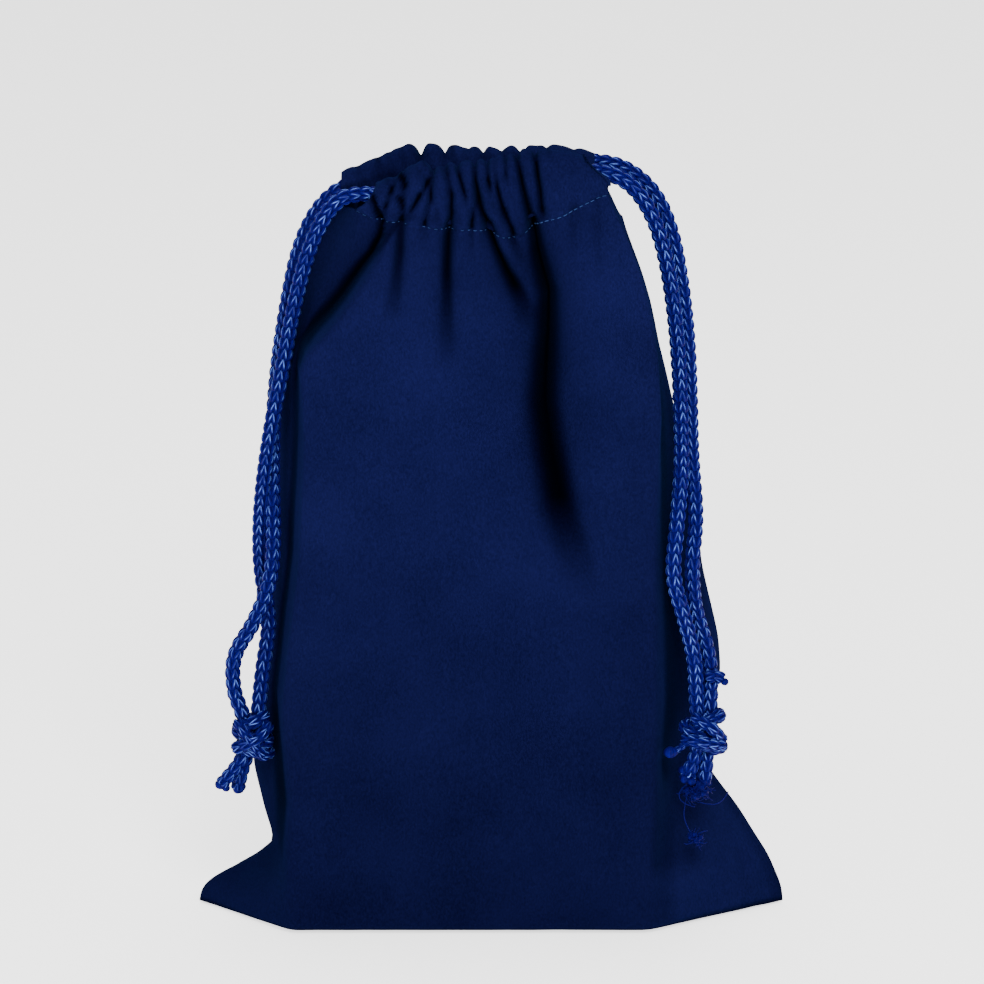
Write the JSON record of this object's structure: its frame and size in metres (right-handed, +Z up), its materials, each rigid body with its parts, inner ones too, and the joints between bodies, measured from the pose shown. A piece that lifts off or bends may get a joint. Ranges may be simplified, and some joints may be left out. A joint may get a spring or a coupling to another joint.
{
  "type": "drawstring pouch",
  "caption": "Standing velvet drawstring pouch with a gathered cord casing round its mouth and braided drawcords knotted in pairs at both sides.",
  "frame": {"origin": "on the floor under the middle between the two bottom corners, in the plane of the side seams", "axes": "+Z up, +X to the pouch's right side as seen from the front, -Y to the front"},
  "size_m": [0.2, 0.0726, 0.265],
  "materials": {
    "velvet": "navy short-pile velvet, matt with a faint sheen",
    "cord": "royal blue braided polyester, glossy filaments",
    "stitching": "light blue polyester sewing thread",
    "thread": "navy polyester sewing thread"
  },
  "bodies": {
    "pouch": {"front_panel": "velvet", "back_panel": "velvet", "left_seam_allowance": "velvet", "right_seam_allowance": "velvet", "bottom_seam_allowance": "velvet", "left_seam_thread": "thread", "right_seam_thread": "thread", "bottom_seam_thread": "thread"},
    "front_lip": {"front_casing": "velvet", "front_casing_stitches": "stitching"},
    "back_lip": {"back_casing": "velvet", "back_casing_stitches": "stitching"},
    "left_cord": {"left_cord_loop": "cord"},
    "left_tail": {"left_tail_front_strand": "cord", "left_tail_back_strand": "cord", "left_knot": "cord", "left_end_a": "cord", "left_end_b": "cord"},
    "right_cord": {"right_cord_loop": "cord"},
    "right_tail": {"right_tail_front_strand": "cord", "right_tail_back_strand": "cord", "right_knot": "cord", "right_end_a": "cord", "right_end_b": "cord", "right_end_tip": "cord", "right_frayed_yarn": "cord"}
  },
  "joints": [
    {"name": "front_lip_open", "type": "hinge", "parent": "pouch", "child": "front_lip", "pos_m": [-0.004, -0.01, 0.258], "axis": [1, 0, 0], "range_deg": [-8, 25]},
    {"name": "back_lip_open", "type": "hinge", "parent": "pouch", "child": "back_lip", "pos_m": [-0.004, 0.01, 0.258], "axis": [-1, 0, 0], "range_deg": [-8, 25]},
    {"name": "left_cord_draw", "type": "slide", "parent": "pouch", "child": "left_cord", "axis": [-1, 0, 0], "range_m": [0, 0.008]},
    {"name": "right_cord_draw", "type": "slide", "parent": "pouch", "child": "right_cord", "axis": [1, 0, 0], "range_m": [0, 0.008]},
    {"name": "left_tail_swing", "type": "hinge", "parent": "left_cord", "child": "left_tail", "pos_m": [-0.0548, 0, 0.2526], "axis": [0, 1, 0], "range_deg": [0, 90]},
    {"name": "right_tail_swing", "type": "hinge", "parent": "right_cord", "child": "right_tail", "pos_m": [0.0476, 0, 0.2596], "axis": [0, -1, 0], "range_deg": [0, 90]}
  ]
}
